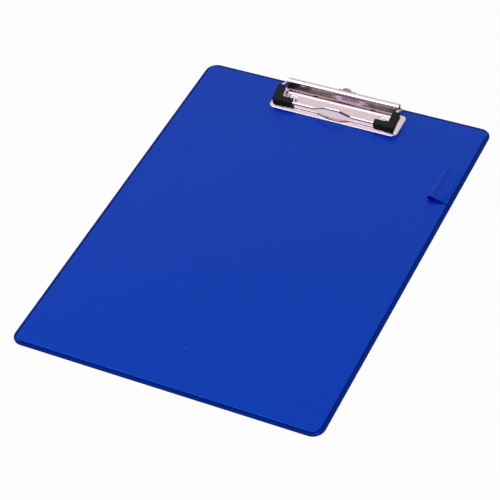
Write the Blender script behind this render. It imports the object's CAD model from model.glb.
"""A plastic-covered clipboard with a sprung wire-bail clip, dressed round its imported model.

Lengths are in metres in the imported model's frame: the origin is the middle of the board's
back, X runs across the board, Y towards the clip and Z up from the back.
"""

import logging
import math
from dataclasses import dataclass
from enum import Enum

import bmesh
import bpy
from mathutils import Matrix, Vector


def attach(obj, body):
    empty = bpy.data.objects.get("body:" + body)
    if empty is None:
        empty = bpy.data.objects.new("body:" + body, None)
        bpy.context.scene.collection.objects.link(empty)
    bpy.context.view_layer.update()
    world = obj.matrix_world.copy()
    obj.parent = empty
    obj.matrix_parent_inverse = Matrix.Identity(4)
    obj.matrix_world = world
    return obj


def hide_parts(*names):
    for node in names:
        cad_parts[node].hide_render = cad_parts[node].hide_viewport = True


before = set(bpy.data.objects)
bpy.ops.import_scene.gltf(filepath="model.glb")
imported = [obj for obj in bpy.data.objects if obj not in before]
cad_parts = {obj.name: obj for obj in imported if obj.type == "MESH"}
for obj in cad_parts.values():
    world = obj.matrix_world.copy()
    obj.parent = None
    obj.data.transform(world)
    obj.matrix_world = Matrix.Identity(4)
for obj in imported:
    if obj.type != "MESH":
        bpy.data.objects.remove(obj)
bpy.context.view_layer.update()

MM = 0.001
TOUCH = 0.02 * MM
MERGE = 0.002 * MM
WHITE = (1.0, 1.0, 1.0, 1.0)
LOG = logging.getLogger("clipboard")

Point = tuple[float, float, float]
Socket = bpy.types.NodeSocket


class Side(Enum):
    """The two ends of the clip, by the sign of X."""

    LEFT = -1
    RIGHT = 1


class Edge(Enum):
    """How far the sharp edges of a finish are eased, in metres."""

    NONE = 0.0
    SHEARED = 0.12 * MM
    MOULDED = 0.35 * MM


def linear(hex_colour: str) -> tuple[float, float, float, float]:
    """Turn an sRGB hex value into a linear colour.

    Args:
        hex_colour: Six hex digits, such as "1A46AB".

    Returns:
        Red, green, blue and an alpha of 1.
    """
    parts = [int(hex_colour[i:i + 2], 16) / 255 for i in (0, 2, 4)]
    r, g, b = (c / 12.92 if c <= 0.04045 else ((c + 0.055) / 1.055) ** 2.4 for c in parts)
    return r, g, b, 1.0


def add_node(tree: bpy.types.NodeTree, kind: str, settings: dict[str, object] | None = None,
             inputs: dict[str | int, object] | None = None) -> bpy.types.Node:
    """Add a shader node with its settings, values and links.

    Args:
        tree: Node tree of a material or of the world.
        kind: The node's type without its "ShaderNode" prefix.
        settings: Properties of the node.
        inputs: Values of its sockets, or the output sockets that feed them.

    Returns:
        The new node.
    """
    node = tree.nodes.new("ShaderNode" + kind)
    for key, value in (settings or {}).items():
        setattr(node, key, value)
    for key, value in (inputs or {}).items():
        if isinstance(value, bpy.types.NodeSocket):
            tree.links.new(value, node.inputs[key])
        else:
            node.inputs[key].default_value = value
    return node


def dress(thing: bpy.types.Object, material: bpy.types.Material) -> None:
    """Give a piece one material in every slot."""
    thing.data.materials.clear()
    thing.data.materials.append(material)


def merged_copy(node: str) -> bmesh.types.BMesh:
    """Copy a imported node's triangles, merged and without their stored normals.

    Args:
        node: Name of the node.

    Returns:
        The copy.
    """
    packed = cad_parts[node].data.copy()
    for name in ("custom_normal", "sharp_edge", "sharp_face"):
        layer = packed.attributes.get(name)
        if layer:
            packed.attributes.remove(layer)
    made = bmesh.new()
    made.from_mesh(packed)
    bpy.data.meshes.remove(packed)
    bmesh.ops.remove_doubles(made, verts=made.verts[:], dist=MERGE)
    return made


def make_piece(name: str, mesh_maker: bmesh.types.BMesh, material: bpy.types.Material,
               body: str, sharp_deg: float = 35.0) -> bpy.types.Object:
    """Turn a finished bmesh into a smooth-shaded piece that rides on a body.

    Args:
        name: Name of the piece.
        mesh_maker: The finished bmesh, which is freed.
        material: Its material.
        body: Body that it moves with.
        sharp_deg: Edges that turn by more than this stay sharp.

    Returns:
        The new object.
    """
    for face in mesh_maker.faces:
        face.smooth = True
    mesh = bpy.data.meshes.new(name)
    mesh_maker.to_mesh(mesh)
    mesh_maker.free()
    mesh.set_sharp_from_angle(angle=math.radians(sharp_deg))
    piece = bpy.data.objects.new(name, mesh)
    bpy.context.scene.collection.objects.link(piece)
    mesh.materials.append(material)
    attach(piece, body)
    return piece


@dataclass(frozen=True)
class EmbossedPvc:
    """Plasticised PVC sheet, calendered with a fine leather-like grain.

    The grain breaks up the gloss, so the sheet reads as satin, and the welded edge, which
    the weld bar has pressed flat, is smoother and a little darker with a slanting hatch.

    Attributes:
        name: Name of the material.
        colour: Colour of the sheet.
        weld_colour: Colour of the welded flange.
        groove_colour: Colour at the bottom of the weld bar's slanting lines.
        roughness: Roughness of the embossed face.
        gloss: Specular level of the embossed face.
        weld_gloss: Specular level of the welded flange, which the weld bar has dulled.
        sheen_tint: Tint of the gloss; the pigment takes most of the red out of it.
        grain: Size of the grain's pebbles.
        grain_depth: Depth of the grain.
        fine_grain: Size of the finer grain between the pebbles.
        mottle: Size of the faint clouds in the sheet's tone.
        mottle_swing: How far the clouds shift the tone, as a share.
        hatch: Spacing of the weld bar's slanting lines.
        hatch_deg: Slant of those lines.
        weld_roughness: Roughness of the welded flange.
        weld_blend: Width over which the face turns into the flange.
        core_half: Half width and half length of the board inside its flange.
    """

    name: str = "embossed_pvc_blue"
    colour: str = "0019A3"
    weld_colour: str = "00168E"
    groove_colour: str = "00105A"
    roughness: float = 0.28
    gloss: float = 0.5
    weld_gloss: float = 0.15
    sheen_tint: str = "38F8FF"
    grain: float = 0.55 * MM
    grain_depth: float = 0.035 * MM
    fine_grain: float = 1.4 * MM
    mottle: float = 2.6 * MM
    mottle_swing: float = 0.05
    hatch: float = 1.9 * MM
    hatch_deg: float = 38.0
    weld_roughness: float = 0.4
    weld_blend: float = 0.25 * MM
    core_half: tuple[float, float] = (117.2 * MM, 156.7 * MM)

    def build(self) -> bpy.types.Material:
        """Build the node material."""
        material = bpy.data.materials.new(self.name)
        material.use_nodes = True
        tree = material.node_tree
        tree.nodes.clear()
        spot = add_node(tree, "TexCoord").outputs["Object"]
        weld = self.weld_mask(tree, spot)
        mottle = add_node(tree, "TexNoise", inputs={
            "Vector": spot, "Scale": 1 / self.mottle, "Detail": 3.0})
        lines = self.hatching(tree, spot)
        welded = add_node(tree, "MixRGB", inputs={"Fac": lines, "Color1": linear(self.groove_colour),
                                                  "Color2": linear(self.weld_colour)})
        tone = add_node(tree, "MixRGB", inputs={"Fac": weld, "Color1": linear(self.colour),
                                                "Color2": welded.outputs["Color"]})
        shade = add_node(tree, "MapRange", inputs={
            "Value": mottle.outputs["Fac"], "From Min": 0.3, "From Max": 0.7,
            "To Min": 1.0 - self.mottle_swing, "To Max": 1.0 + self.mottle_swing})
        colour = add_node(tree, "VectorMath", {"operation": "SCALE"},
                          {0: tone.outputs["Color"], "Scale": shade.outputs["Result"]})
        rough = add_node(tree, "MapRange", inputs={
            "Value": weld, "To Min": self.roughness, "To Max": self.weld_roughness})
        gloss = add_node(tree, "MapRange", inputs={
            "Value": weld, "To Min": self.gloss, "To Max": self.weld_gloss})
        shader = add_node(tree, "BsdfPrincipled", inputs={
            "Base Color": colour.outputs["Vector"], "Roughness": rough.outputs["Result"],
            "Specular IOR Level": gloss.outputs["Result"], "Specular Tint": linear(self.sheen_tint),
            "Normal": self.relief(tree, spot, weld, lines)})
        shader.inputs["IOR"].default_value = 1.5
        add_node(tree, "OutputMaterial", inputs={"Surface": shader.outputs["BSDF"]})
        return material

    def weld_mask(self, tree: bpy.types.NodeTree, spot: Socket) -> Socket:
        """Mask the welded flange: 1 outside the core's outline, 0 inside.

        Args:
            tree: Node tree.
            spot: Object coordinates.

        Returns:
            The mask's socket.
        """
        axes = add_node(tree, "SeparateXYZ", inputs={"Vector": spot})
        over = []
        for axis, half in zip(("X", "Y"), self.core_half):
            size = add_node(tree, "Math", {"operation": "ABSOLUTE"}, {0: axes.outputs[axis]})
            past = add_node(tree, "MapRange", inputs={
                "Value": size.outputs[0], "From Min": half, "From Max": half + self.weld_blend})
            over.append(past.outputs["Result"])
        return add_node(tree, "Math", {"operation": "MAXIMUM"}, {0: over[0], 1: over[1]}).outputs[0]

    def hatching(self, tree: bpy.types.NodeTree, spot: Socket) -> Socket:
        """Draw the slanting lines of the weld bar.

        Args:
            tree: Node tree.
            spot: Object coordinates.

        Returns:
            Their height, from 0 to 1.
        """
        slant = (0.0, 0.0, math.radians(self.hatch_deg))
        turned = add_node(tree, "Mapping", inputs={"Vector": spot, "Rotation": slant})
        lines = add_node(tree, "TexWave",
                         {"wave_type": "BANDS", "bands_direction": "X", "wave_profile": "SIN"},
                         {"Vector": turned.outputs["Vector"], "Scale": 2 * math.pi / (20 * self.hatch),
                          "Distortion": 0.6, "Detail": 1.0, "Detail Scale": 300.0})
        return lines.outputs["Fac"]

    def relief(self, tree: bpy.types.NodeTree, spot: Socket, weld: Socket, lines: Socket) -> Socket:
        """Join the grain of the face and the hatch of the weld into one normal.

        Args:
            tree: Node tree.
            spot: Object coordinates.
            weld: Mask of the welded flange.
            lines: Height of the weld's hatch.

        Returns:
            The normal's socket.
        """
        pebbles = add_node(tree, "TexVoronoi", {"feature": "SMOOTH_F1"},
                           {"Vector": spot, "Scale": 1 / self.grain, "Smoothness": 0.6})
        fine = add_node(tree, "TexNoise", inputs={
            "Vector": spot, "Scale": 1 / self.fine_grain, "Detail": 4.0})
        grain = add_node(tree, "Math", {"operation": "ADD"},
                         {0: pebbles.outputs["Distance"], 1: fine.outputs["Fac"]})
        height = add_node(tree, "Mix", {"data_type": "FLOAT"}, {0: weld, 2: grain.outputs[0], 3: lines})
        bump = add_node(tree, "Bump", inputs={"Height": height.outputs[0], "Distance": self.grain_depth,
                                              "Strength": 1.0})
        return bump.outputs["Normal"]


@dataclass(frozen=True)
class Plating:
    """Bright metal, plated or drawn, with the faint waviness of its base metal.

    The plating mirrors the room softly; fine drawn or polished lines stretch its glints
    along one axis.

    Attributes:
        name: Name of the material.
        colour: Colour at normal incidence.
        roughness: Mean roughness.
        spread: How far the roughness wanders from the mean.
        line_axis: Axis along which the polishing lines run, 0 to 2.
        line: Spacing of the polishing lines.
        line_stretch: Scale of the pattern along the lines, under 1 to draw them out.
        depth: Depth of the lines.
        cloud: Size of the patches over which the roughness wanders.
        edge: How far sharp edges are eased.
        bare: Share of the metal that shows bare; the rest is under a dull bloom.
    """

    name: str
    colour: str
    roughness: float
    spread: float = 0.04
    line_axis: int = 0
    line: float = 0.25 * MM
    line_stretch: float = 0.03
    depth: float = 0.0001 * MM
    cloud: float = 6.0 * MM
    edge: Edge = Edge.SHEARED
    bare: float = 1.0

    def build(self) -> bpy.types.Material:
        """Build the node material."""
        material = bpy.data.materials.new(self.name)
        material.use_nodes = True
        tree = material.node_tree
        tree.nodes.clear()
        spot = add_node(tree, "TexCoord").outputs["Object"]
        stretch = [1.0, 1.0, 1.0]
        stretch[self.line_axis] = self.line_stretch
        along = add_node(tree, "Mapping", inputs={"Vector": spot, "Scale": stretch})
        lines = add_node(tree, "TexNoise", inputs={
            "Vector": along.outputs["Vector"], "Scale": 1 / self.line, "Detail": 1.0})
        cloud = add_node(tree, "TexNoise", inputs={"Vector": spot, "Scale": 1 / self.cloud, "Detail": 4.0})
        rough = add_node(tree, "MapRange", inputs={
            "Value": cloud.outputs["Fac"], "From Min": 0.3, "From Max": 0.7,
            "To Min": self.roughness - self.spread, "To Max": self.roughness + self.spread})
        rounded = add_node(tree, "Bevel", {"samples": 4}, {"Radius": self.edge.value})
        bump = add_node(tree, "Bump", inputs={"Height": lines.outputs["Fac"], "Distance": self.depth,
                                              "Normal": rounded.outputs["Normal"]})
        shader = add_node(tree, "BsdfPrincipled", inputs={
            "Base Color": linear(self.colour), "Metallic": self.bare, "Roughness": rough.outputs["Result"],
            "Normal": bump.outputs["Normal"]})
        add_node(tree, "OutputMaterial", inputs={"Surface": shader.outputs["BSDF"]})
        return material


@dataclass(frozen=True)
class MouldedPlastic:
    """Injection-moulded plastic with the fine spark-eroded texture of its tool.

    Attributes:
        name: Name of the material.
        colour: Colour of the plastic.
        roughness: Mean roughness of its surface.
        spread: How far the roughness wanders from the mean.
        cloud: Size of the patches over which it wanders.
        gloss: Specular level, low because the texture scatters the light.
        texture: Size of the texture's spots.
        depth: Depth of the texture.
    """

    name: str = "moulded_polypropylene_black"
    colour: str = "1C1C1E"
    roughness: float = 0.42
    spread: float = 0.08
    cloud: float = 4.0 * MM
    gloss: float = 0.08
    texture: float = 0.28 * MM
    depth: float = 0.012 * MM

    def build(self) -> bpy.types.Material:
        """Build the node material."""
        material = bpy.data.materials.new(self.name)
        material.use_nodes = True
        tree = material.node_tree
        tree.nodes.clear()
        spot = add_node(tree, "TexCoord").outputs["Object"]
        spots = add_node(tree, "TexNoise", inputs={
            "Vector": spot, "Scale": 1 / self.texture, "Detail": 1.0})
        cloud = add_node(tree, "TexNoise", inputs={"Vector": spot, "Scale": 1 / self.cloud, "Detail": 2.0})
        rough = add_node(tree, "MapRange", inputs={
            "Value": cloud.outputs["Fac"],
            "To Min": self.roughness - self.spread, "To Max": self.roughness + self.spread})
        rounded = add_node(tree, "Bevel", {"samples": 4}, {"Radius": Edge.MOULDED.value})
        bump = add_node(tree, "Bump", inputs={"Height": spots.outputs["Fac"], "Distance": self.depth,
                                              "Normal": rounded.outputs["Normal"]})
        shader = add_node(tree, "BsdfPrincipled", inputs={
            "Base Color": linear(self.colour), "Roughness": rough.outputs["Result"],
            "Normal": bump.outputs["Normal"]})
        shader.inputs["IOR"].default_value = 1.49
        shader.inputs["Specular IOR Level"].default_value = self.gloss
        add_node(tree, "OutputMaterial", inputs={"Surface": shader.outputs["BSDF"]})
        return material


@dataclass(frozen=True)
class Millboard:
    """Grey-brown board pressed from waste paper, with flecks of fibre.

    Attributes:
        name: Name of the material.
        colour: Colour of the board.
        fleck_colour: Colour of the flecks.
        fibre: Length of the fibres.
        depth: Depth of the felted surface.
        roughness: Roughness of the board.
    """

    name: str = "pressed_millboard"
    colour: str = "9A8768"
    fleck_colour: str = "5E5140"
    fibre: float = 1.8 * MM
    depth: float = 0.05 * MM
    roughness: float = 0.9

    def build(self) -> bpy.types.Material:
        """Build the node material."""
        material = bpy.data.materials.new(self.name)
        material.use_nodes = True
        tree = material.node_tree
        tree.nodes.clear()
        spot = add_node(tree, "TexCoord").outputs["Object"]
        fibres = add_node(tree, "TexNoise", inputs={"Vector": spot, "Scale": 1 / self.fibre, "Detail": 8.0,
                                                    "Distortion": 1.5})
        colour = add_node(tree, "MixRGB", inputs={
            "Fac": fibres.outputs["Fac"], "Color1": linear(self.colour),
            "Color2": linear(self.fleck_colour)})
        bump = add_node(tree, "Bump", inputs={"Height": fibres.outputs["Fac"], "Distance": self.depth})
        shader = add_node(tree, "BsdfPrincipled", inputs={
            "Base Color": colour.outputs["Color"], "Roughness": self.roughness,
            "Normal": bump.outputs["Normal"]})
        add_node(tree, "OutputMaterial", inputs={"Surface": shader.outputs["BSDF"]})
        return material


@dataclass
class Board:
    """The covered board: core, two cover sheets and two small press marks.

    Attributes:
        face_z: Height of the writing face.
        mark_length: Length of a press mark.
        mark_width: Width of a press mark.
        mark_height: How far a press mark stands out of the face.
        mark_root: How deep its hidden root goes, as a share of that height.
        marks: Middle of each press mark, in X and Y.
    """

    face_z: float = 3.0 * MM
    mark_length: float = 9.0 * MM
    mark_width: float = 1.8 * MM
    mark_height: float = 0.45 * MM
    mark_root: float = 0.3
    marks: tuple[tuple[float, float], ...] = ((1.0 * MM, -121.7 * MM), (2.6 * MM, -138.0 * MM))

    def build(self, sheet: bpy.types.Material, core: bpy.types.Material) -> None:
        """Dress the board's nodes and raise its press marks.

        Args:
            sheet: Material of the cover sheets.
            core: Material of the stiff core.
        """
        dress(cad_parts["core_board"], core)
        for name in ("front_cover", "back_cover"):
            dress(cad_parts[name], sheet)
        for number, (x, y) in enumerate(self.marks, 1):
            made = bmesh.new()
            bmesh.ops.create_uvsphere(made, u_segments=32, v_segments=12, radius=1.0)
            bmesh.ops.bisect_plane(made, geom=[*made.verts, *made.edges, *made.faces],
                                   plane_co=(0, 0, -self.mark_root), plane_no=(0, 0, -1),
                                   clear_outer=True)
            bmesh.ops.scale(made, verts=made.verts[:],
                            vec=(self.mark_length / 2, self.mark_width / 2, self.mark_height))
            bmesh.ops.translate(made, verts=made.verts[:], vec=(x, y, self.face_z))
            make_piece(f"press_mark_{number}", made, sheet, "board")
            LOG.info("press mark %d at %.4f, %.4f", number, x, y)


@dataclass
class PenStrip:
    """The pen loop: a strip of the cover's sheet, folded back and welded into the edge.

    The strip is drawn as one ribbon. At its near end it stands open as a wedge; further
    along the upper layer sags between the fold and the welded edge.

    Attributes:
        near_y: Near end of the strip.
        length: Length of the strip along the board's edge.
        thickness: Thickness of the sheet.
        fold_x: Place of the fold's outer face at the near and the far end.
        fold_height: Outside height of the fold at the near and the far end.
        edge_x: Outer edge of the tail on the weld.
        wall_x: Outer face of the board's upright edge.
        face_z: Height of the writing face.
        weld_z: Height of the welded flange.
        shoulder: Radius of the board's shoulder.
        meet_deg: Where the upper layer leaves the shoulder, in degrees round it.
        sag_start: Share of the length over which the sag sets in.
        stops: Where the weld, the shoulder, the upper layer and the fold end round the section.
        tail: How far the lower layer runs from the fold towards the shoulder, as a share.
        knots: Run from the fold and height of the sagged upper layer, both as shares.
        cells: Cells of the ribbon across and along.
    """

    near_y: float = 73.0 * MM
    length: float = 32.0 * MM
    thickness: float = 0.4 * MM
    fold_x: tuple[float, float] = (101.8 * MM, 102.5 * MM)
    fold_height: tuple[float, float] = (4.0 * MM, 2.6 * MM)
    edge_x: float = 119.8 * MM
    wall_x: float = 117.3 * MM
    face_z: float = 3.0 * MM
    weld_z: float = 1.85 * MM
    shoulder: float = 0.95 * MM
    meet_deg: float = 55.0
    sag_start: float = 0.3
    stops: tuple[float, float, float, float] = (0.1, 0.25, 0.65, 0.85)
    tail: float = 0.6
    knots: tuple[tuple[float, float], ...] = (
        (0.0, 1.0), (0.08, 0.97), (0.3, 0.6), (0.5, 0.52), (0.75, 0.46), (0.94, 0.12), (1.0, 0.0))
    cells: tuple[int, int] = (72, 40)

    def build(self, sheet: bpy.types.Material) -> bpy.types.Object:
        """Lay the ribbon out along the edge and give it its thickness.

        Args:
            sheet: Material of the strip.

        Returns:
            The pen loop, which stands for its node.
        """
        made = bmesh.new()
        across, along = self.cells
        bmesh.ops.create_grid(made, x_segments=across, y_segments=along, size=0.5)
        for vert in made.verts:
            station = vert.co.y + 0.5
            x, z = self.section(vert.co.x + 0.5, station)
            vert.co = (x, self.near_y + station * self.length, z)
        bmesh.ops.recalc_face_normals(made, faces=made.faces[:])
        bmesh.ops.solidify(made, geom=made.faces[:], thickness=self.thickness)
        piece = make_piece("pen_strip", made, sheet, "board", 50.0)
        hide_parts("pen_loop")
        LOG.info("pen strip: %d by %d cells", across, along)
        return piece

    def section(self, share: float, station: float) -> tuple[float, float]:
        """Find a point of the ribbon's middle line at one place along the edge.

        Args:
            share: Place round the section: 0 on the weld, 1 at the end of the lower layer.
            station: Place along the strip: 0 at its near end, 1 at its far end.

        Returns:
            X and Z of the point.
        """
        half = self.thickness / 2
        fold_x = self.fold_x[0] + station * (self.fold_x[1] - self.fold_x[0])
        height = self.fold_height[0] + station * (self.fold_height[1] - self.fold_height[0])
        radius = height / 2 - half
        centre_x, centre_z = fold_x + height / 2, self.face_z + height / 2
        turn_x, turn_z = self.wall_x - self.shoulder, self.face_z - self.shoulder
        turn_r = self.shoulder + half
        meet = math.radians(self.meet_deg)
        meet_x, meet_z = turn_x + turn_r * math.cos(meet), turn_z + turn_r * math.sin(meet)
        weld, shoulder, layer, fold = self.stops
        if share < weld:
            run = share / weld
            return self.edge_x + run * (self.wall_x + half - self.edge_x), self.weld_z + half
        if share < shoulder:
            angle = (share - weld) / (shoulder - weld) * meet
            return turn_x + turn_r * math.cos(angle), turn_z + turn_r * math.sin(angle)
        if share < layer:
            run = (share - shoulder) / (layer - shoulder)
            rise = self.face_z + height - half - meet_z
            return (meet_x + run * (centre_x - meet_x),
                    meet_z + rise * self.profile(1.0 - run, station))
        if share < fold:
            angle = (share - layer) / (fold - layer) * math.pi
            return centre_x - radius * math.sin(angle), centre_z + radius * math.cos(angle)
        run = (share - fold) / (1.0 - fold)
        return centre_x + run * self.tail * (turn_x - centre_x), self.face_z + half

    def profile(self, run: float, station: float) -> float:
        """Find the upper layer's height as a share of the fold's height.

        Args:
            run: Distance from the fold as a share of the layer's width.
            station: Place along the strip, from 0 to 1.

        Returns:
            Share of the height, 1 at the fold and 0 at the shoulder.
        """
        sag = min(1.0, station / self.sag_start)
        sag = sag * sag * (3.0 - 2.0 * sag)
        level = 0.0
        for (a, high), (b, low) in zip(self.knots, self.knots[1:]):
            if a <= run <= b:
                ease = (run - a) / (b - a)
                ease = ease * ease * (3.0 - 2.0 * ease)
                level = high + ease * (low - high)
        return (1.0 - sag) * (1.0 - run) + sag * level


@dataclass
class TorsionSpring:
    """One torsion spring: a close coil round the hinge pin with two straight legs.

    Attributes:
        side: Which end of the clip it is nearer to.
        hinge_y: Place of the hinge pin along the board.
        hinge_z: Height of the hinge pin.
        middle: Distance of the coil's middle from the clip's middle.
        wire: Diameter of the wire.
        coil_radius: Radius of the coil at the middle of the wire.
        length: Length of the coil along the pin, between the middles of its end turns.
        turns: Number of turns, with the quarter that sets the legs apart.
        floor_leg: How far the lower leg runs back and down.
        lever_leg: Length of the upper leg behind the lever.
        round_cells: Cells round the wire.
        turn_cells: Cells along one turn.
    """

    side: Side
    hinge_y: float = 153.4 * MM
    hinge_z: float = 5.9 * MM
    middle: float = 24.0 * MM
    wire: float = 0.6 * MM
    coil_radius: float = 1.25 * MM
    length: float = 2.82 * MM
    turns: float = 4.25
    floor_leg: tuple[float, float] = (3.2 * MM, -0.55 * MM)
    lever_leg: float = 2.7 * MM
    round_cells: int = 12
    turn_cells: int = 26

    def build(self, steel: bpy.types.Material) -> bpy.types.Object:
        """Wind the coil and draw out its legs.

        Args:
            steel: Material of the wire.

        Returns:
            The spring, which stands for its node.
        """
        made = bmesh.new()
        start = Vector((self.length / 2, 0.0, -self.coil_radius))
        place = Matrix.Translation(start) @ Matrix.Rotation(math.radians(90), 4, "X")
        ring = bmesh.ops.create_circle(made, cap_ends=False, segments=self.round_cells,
                                       radius=self.wire / 2, matrix=place)
        count = round(self.turn_cells * self.turns)
        wound = bmesh.ops.spin(made, geom=[*made.edges], cent=(0, 0, 0), axis=(-1, 0, 0), steps=count,
                               dvec=(-self.length / count, 0, 0), angle=math.radians(360 * self.turns))
        tail = [item for item in wound["geom_last"] if isinstance(item, bmesh.types.BMEdge)]
        head = list({edge for vert in ring["verts"] for edge in vert.link_edges if edge.is_boundary})
        self.draw_out(made, head, Vector((0.0, self.floor_leg[0], self.floor_leg[1])))
        self.draw_out(made, tail, Vector((0.0, 0.0, self.lever_leg)))
        bmesh.ops.recalc_face_normals(made, faces=made.faces[:])
        bmesh.ops.translate(made, verts=made.verts[:],
                            vec=(self.side.value * self.middle, self.hinge_y, self.hinge_z))
        name = self.side.name.lower()
        piece = make_piece(f"torsion_spring_{name}", made, steel, "board", 60.0)
        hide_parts(f"spring_{name}")
        LOG.info("torsion spring %s: %.2f turns", name, self.turns)
        return piece

    @staticmethod
    def draw_out(made: bmesh.types.BMesh, rim: list[bmesh.types.BMEdge], run: Vector) -> None:
        """Extrude an open end of the wire into a straight leg and close it.

        Args:
            made: The spring's bmesh.
            rim: Edges round the open end.
            run: From the end of the coil to the end of the leg.
        """
        grown = bmesh.ops.extrude_edge_only(made, edges=rim)["geom"]
        verts = [item for item in grown if isinstance(item, bmesh.types.BMVert)]
        edges = [item for item in grown if isinstance(item, bmesh.types.BMEdge) and item.is_boundary]
        bmesh.ops.translate(made, verts=verts, vec=run)
        bmesh.ops.edgeloop_fill(made, edges=edges)


@dataclass
class Lever:
    """The lever: a pressing with a rolled finger edge, a front wall and two cheeks.

    The wall is drawn nearly flat by the last stroke of the press. No polishing wheel
    reaches the inside of the roll, which stays dull, or all of the hem, which is satin.

    Attributes:
        hinge_y: Place of the hinge pin along the board.
        foot: Y from the hinge and Z of the wall's front face just over the hem.
        head: Y from the hinge and Z of the wall's front face just under the roll.
        hollow: How far the wall is hollowed at most.
        hem: Y from the hinge and Z of the hem's middle.
        hem_r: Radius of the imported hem.
        hem_front: Share of that radius behind the hem's middle up to which it is pressed.
        hem_press: Share of that radius that is left when the hem is pressed home.
        hem_drop: How far that moves the hem's middle, in Y and Z.
        bore_axis: Y from the hinge and Z of the roll's axis.
        bore: Radius of the roll's bore.
    """

    hinge_y: float = 153.4 * MM
    foot: tuple[float, float] = (-4.768 * MM, 6.601 * MM)
    head: tuple[float, float] = (-3.374 * MM, 9.489 * MM)
    hollow: float = 0.3 * MM
    hem: tuple[float, float] = (-5.2 * MM, 6.05 * MM)
    hem_r: float = 0.7 * MM
    hem_front: float = 0.7
    hem_press: float = 0.6
    hem_drop: tuple[float, float] = (-0.25 * MM, -0.3 * MM)
    bore_axis: tuple[float, float] = (-0.6 * MM, 9.5 * MM)
    bore: float = 1.9 * MM

    def build(self, nickel: bpy.types.Material, satin: bpy.types.Material,
              dull: bpy.types.Material) -> bpy.types.Object:
        """Draw the wall flat, press the hem, mark the bore and build the piece.

        Args:
            nickel: Material of the polished outside.
            satin: Material of the hem.
            dull: Material of the bore.

        Returns:
            The lever, which stands for its node.
        """
        made = merged_copy("lever")
        foot = Vector((self.foot[0] + self.hinge_y, self.foot[1]))
        rise = Vector((self.head[0] + self.hinge_y, self.head[1])) - foot
        length = rise.length
        rise.normalize()
        inward = Vector((rise.y, -rise.x))
        axis = Vector((self.bore_axis[0] + self.hinge_y, self.bore_axis[1]))
        hem = Vector((self.hem[0] + self.hinge_y, self.hem[1]))
        hem_end = hem.x + self.hem_front * self.hem_r
        bored, hemmed = set(), set()
        for vert in made.verts:
            spot = Vector((vert.co.y, vert.co.z))
            along, behind = (spot - foot).dot(rise), (spot - foot).dot(inward)
            if 0.0 < along < length and 0.0 < behind < self.hollow:
                vert.co.y -= behind * inward.x
                vert.co.z -= behind * inward.y
            elif (spot - axis).length < self.bore + TOUCH:
                bored.add(vert)
            elif abs((spot - hem).length - self.hem_r) < TOUCH and spot.x < hem_end:
                spot = hem + Vector(self.hem_drop) + self.hem_press * (spot - hem)
                vert.co.y, vert.co.z = spot
                hemmed.add(vert)
        for face in made.faces:
            if bored.issuperset(face.verts):
                face.material_index = 2
            else:
                face.material_index = int(hemmed.issuperset(face.verts))
        piece = make_piece("finger_lever", made, nickel, "clip", 40.0)
        piece.data.materials.append(satin)
        piece.data.materials.append(dull)
        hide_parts("lever")
        LOG.info("lever: %d vertices in the bore, %d in the hem", len(bored), len(hemmed))
        return piece


@dataclass
class Clip:
    """The clip's other pressed, turned and moulded pieces."""

    def build(self, plate: bpy.types.Material, wire: bpy.types.Material, rivet: bpy.types.Material,
              zinc: bpy.types.Material, guard: bpy.types.Material, hanger: bpy.types.Material) -> None:
        """Dress every other node of the clip.

        Args:
            plate: Material of the base plate.
            wire: Material of the bail.
            rivet: Material of the rivets.
            zinc: Material of the pin and the washers.
            guard: Material of the corner guards.
            hanger: Material of the hanger.
        """
        finishes = {
            "clip_plate": plate, "bail_wire": wire, "hinge_pin": zinc, "hanger": hanger,
            "rivet_left": rivet, "rivet_right": rivet, "washer_left": zinc, "washer_right": zinc,
            "guard_left": guard, "guard_right": guard,
        }
        for name, material in finishes.items():
            dress(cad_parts[name], material)
            LOG.info("dressed %s", name)


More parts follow.
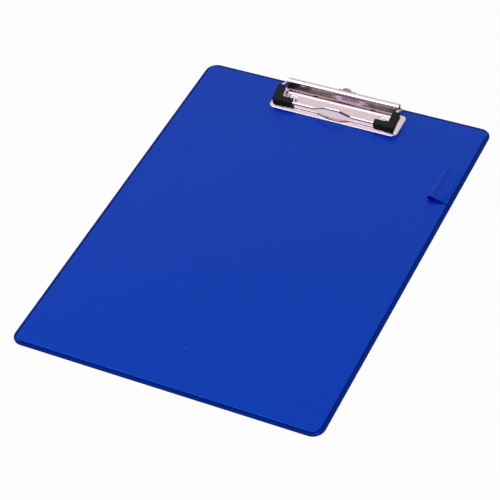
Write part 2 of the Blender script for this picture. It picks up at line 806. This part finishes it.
@dataclass
class Studio:
    """Pale floor, soft light and the camera.

    Attributes:
        eye: Place of the camera.
        forward: Direction in which the camera looks.
        up: The camera's upward direction.
        lens: Focal length, in millimetres.
        sensor: Width of the sensor, in millimetres.
        reach: Nearest and furthest distance that the camera sees.
        floor_size: Side of the square floor.
        floor_gap: Gap between the floor and the board's back.
        floor_colour: Colour of the floor as it lights the object.
        floor_glow: Share of the floor that the camera sees as plain white.
        ahead: Level direction to the far side of the room.
        room_grey: Colour of the room on the far side.
        room_dark: Colour of the room behind the camera.
        room_turn: Where the room starts to darken and where it is darkest, along ahead.
        silk_place: Middle of the wide silk that hangs over the board and its near side.
        silk_size: Width and length of the silk.
        silk_power: Power of the silk, in watts.
    """

    eye: Point = (0.5035, -0.8521, 0.9848)
    forward: Point = (-0.36338, 0.60241, -0.71068)
    up: Point = (-0.25167, 0.67099, 0.69745)
    lens: float = 137.66
    sensor: float = 36.0
    reach: tuple[float, float] = (0.05, 50.0)
    floor_size: float = 12.0
    floor_gap: float = 0.05 * MM
    floor_colour: str = "A4A4A4"
    floor_glow: float = 0.97
    ahead: Point = (-0.55, 0.835, 0.0)
    room_grey: Point = (0.8, 0.8, 0.8)
    room_dark: Point = (0.15, 0.1, 0.12)
    room_turn: tuple[float, float] = (0.35, -0.2)
    silk_place: Point = (-0.7, -1.435, 2.4)
    silk_size: tuple[float, float] = (3.8, 3.67)
    silk_power: float = 90.0

    def build(self) -> None:
        """Build the floor, the world, the light and the camera."""
        self.build_floor()
        self.build_world()
        self.build_light()
        self.build_camera()
        bpy.context.scene.view_settings.view_transform = "Standard"

    def build_floor(self) -> None:
        """Lay the floor just under the board's back."""
        made = bmesh.new()
        bmesh.ops.create_grid(made, x_segments=1, y_segments=1, size=self.floor_size / 2)
        bmesh.ops.translate(made, verts=made.verts[:], vec=(0, 0, -self.floor_gap))
        mesh = bpy.data.meshes.new("floor")
        made.to_mesh(mesh)
        made.free()
        floor = bpy.data.objects.new("floor", mesh)
        bpy.context.scene.collection.objects.link(floor)
        material = bpy.data.materials.new("white_sweep")
        material.use_nodes = True
        tree = material.node_tree
        tree.nodes.clear()
        path = add_node(tree, "LightPath")
        seen = add_node(tree, "Math", {"operation": "MULTIPLY"},
                        {0: path.outputs["Is Camera Ray"], 1: self.floor_glow})
        paper = add_node(tree, "BsdfDiffuse", inputs={"Color": linear(self.floor_colour)})
        glow = add_node(tree, "Emission", inputs={"Color": WHITE, "Strength": 1.0})
        mixed = add_node(tree, "MixShader", inputs={
            0: seen.outputs[0], 1: paper.outputs[0], 2: glow.outputs[0]})
        add_node(tree, "OutputMaterial", inputs={"Surface": mixed.outputs[0]})
        dress(floor, material)

    def build_world(self) -> None:
        """Surround the object with a pale grey room that is dark behind the camera."""
        world = bpy.data.worlds.new("studio_room")
        bpy.context.scene.world = world
        world.use_nodes = True
        tree = world.node_tree
        tree.nodes.clear()
        way = add_node(tree, "TexCoord").outputs["Generated"]
        facing = add_node(tree, "VectorMath", {"operation": "DOT_PRODUCT"}, {0: way, 1: self.ahead})
        dark = add_node(tree, "MapRange", {"interpolation_type": "SMOOTHSTEP"},
                        {"Value": facing.outputs["Value"], "From Min": self.room_turn[0],
                         "From Max": self.room_turn[1]})
        room = add_node(tree, "MixRGB", inputs={
            "Fac": dark.outputs["Result"], "Color1": (*self.room_grey, 1.0),
            "Color2": (*self.room_dark, 1.0)})
        path = add_node(tree, "LightPath")
        seen = add_node(tree, "MixRGB", inputs={
            "Fac": path.outputs["Is Camera Ray"], "Color1": room.outputs[0], "Color2": WHITE})
        back = add_node(tree, "Background", inputs={"Color": seen.outputs[0], "Strength": 1.0})
        add_node(tree, "OutputWorld", inputs={"Surface": back.outputs[0]})

    def build_light(self) -> None:
        """Hang the silk, which faces straight down."""
        lamp = bpy.data.lights.new("overhead_silk", "AREA")
        lamp.shape = "RECTANGLE"
        lamp.size, lamp.size_y = self.silk_size
        lamp.energy = self.silk_power
        silk = bpy.data.objects.new("overhead_silk", lamp)
        silk.location = self.silk_place
        silk.visible_camera = False
        bpy.context.scene.collection.objects.link(silk)

    def build_camera(self) -> None:
        """Set the camera."""
        data = bpy.data.cameras.new("camera")
        data.lens = self.lens
        data.sensor_width = self.sensor
        data.clip_start, data.clip_end = self.reach
        camera = bpy.data.objects.new("camera", data)
        ahead, up = Vector(self.forward).normalized(), Vector(self.up).normalized()
        right = ahead.cross(up).normalized()
        turn = Matrix((right, right.cross(ahead), -ahead)).transposed()
        camera.matrix_world = Matrix.Translation(self.eye) @ turn.to_4x4()
        bpy.context.scene.collection.objects.link(camera)
        bpy.context.scene.camera = camera


def main() -> None:
    """Build every sub-assembly in order."""
    logging.basicConfig(level=logging.INFO, format="%(message)s")
    sheet = EmbossedPvc().build()
    nickel = Plating("nickel_plated_sheet", "EDDADE", 0.11).build()
    pressed = Plating("nickel_plated_lever", "E4D6DA", 0.16, edge=Edge.NONE).build()
    satin = Plating("satin_plated_hem", "94848B", 0.25, edge=Edge.NONE).build()
    dull = Plating("unpolished_steel", "4A4446", 0.6, edge=Edge.NONE).build()
    wire = Plating("nickel_plated_wire", "E6DADD", 0.07, spread=0.02, line=0.4 * MM).build()
    rivet = Plating("nickel_plated_rivet", "ECE2E6", 0.08).build()
    zinc = Plating("zinc_plated_steel", "B4B1B2", 0.3).build()
    spring = Plating("oiled_spring_steel", "8F8C8A", 0.28, edge=Edge.NONE).build()
    hanger = Plating("copper_flashed_hanger", "FFCDBD", 0.5, bare=0.3).build()
    guard = MouldedPlastic().build()
    Board().build(sheet, Millboard().build())
    PenStrip().build(sheet)
    Lever().build(pressed, satin, dull)
    Clip().build(nickel, wire, rivet, zinc, guard, hanger)
    for side in Side:
        TorsionSpring(side).build(spring)
    Studio().build()


if __name__ == "__main__":
    main()
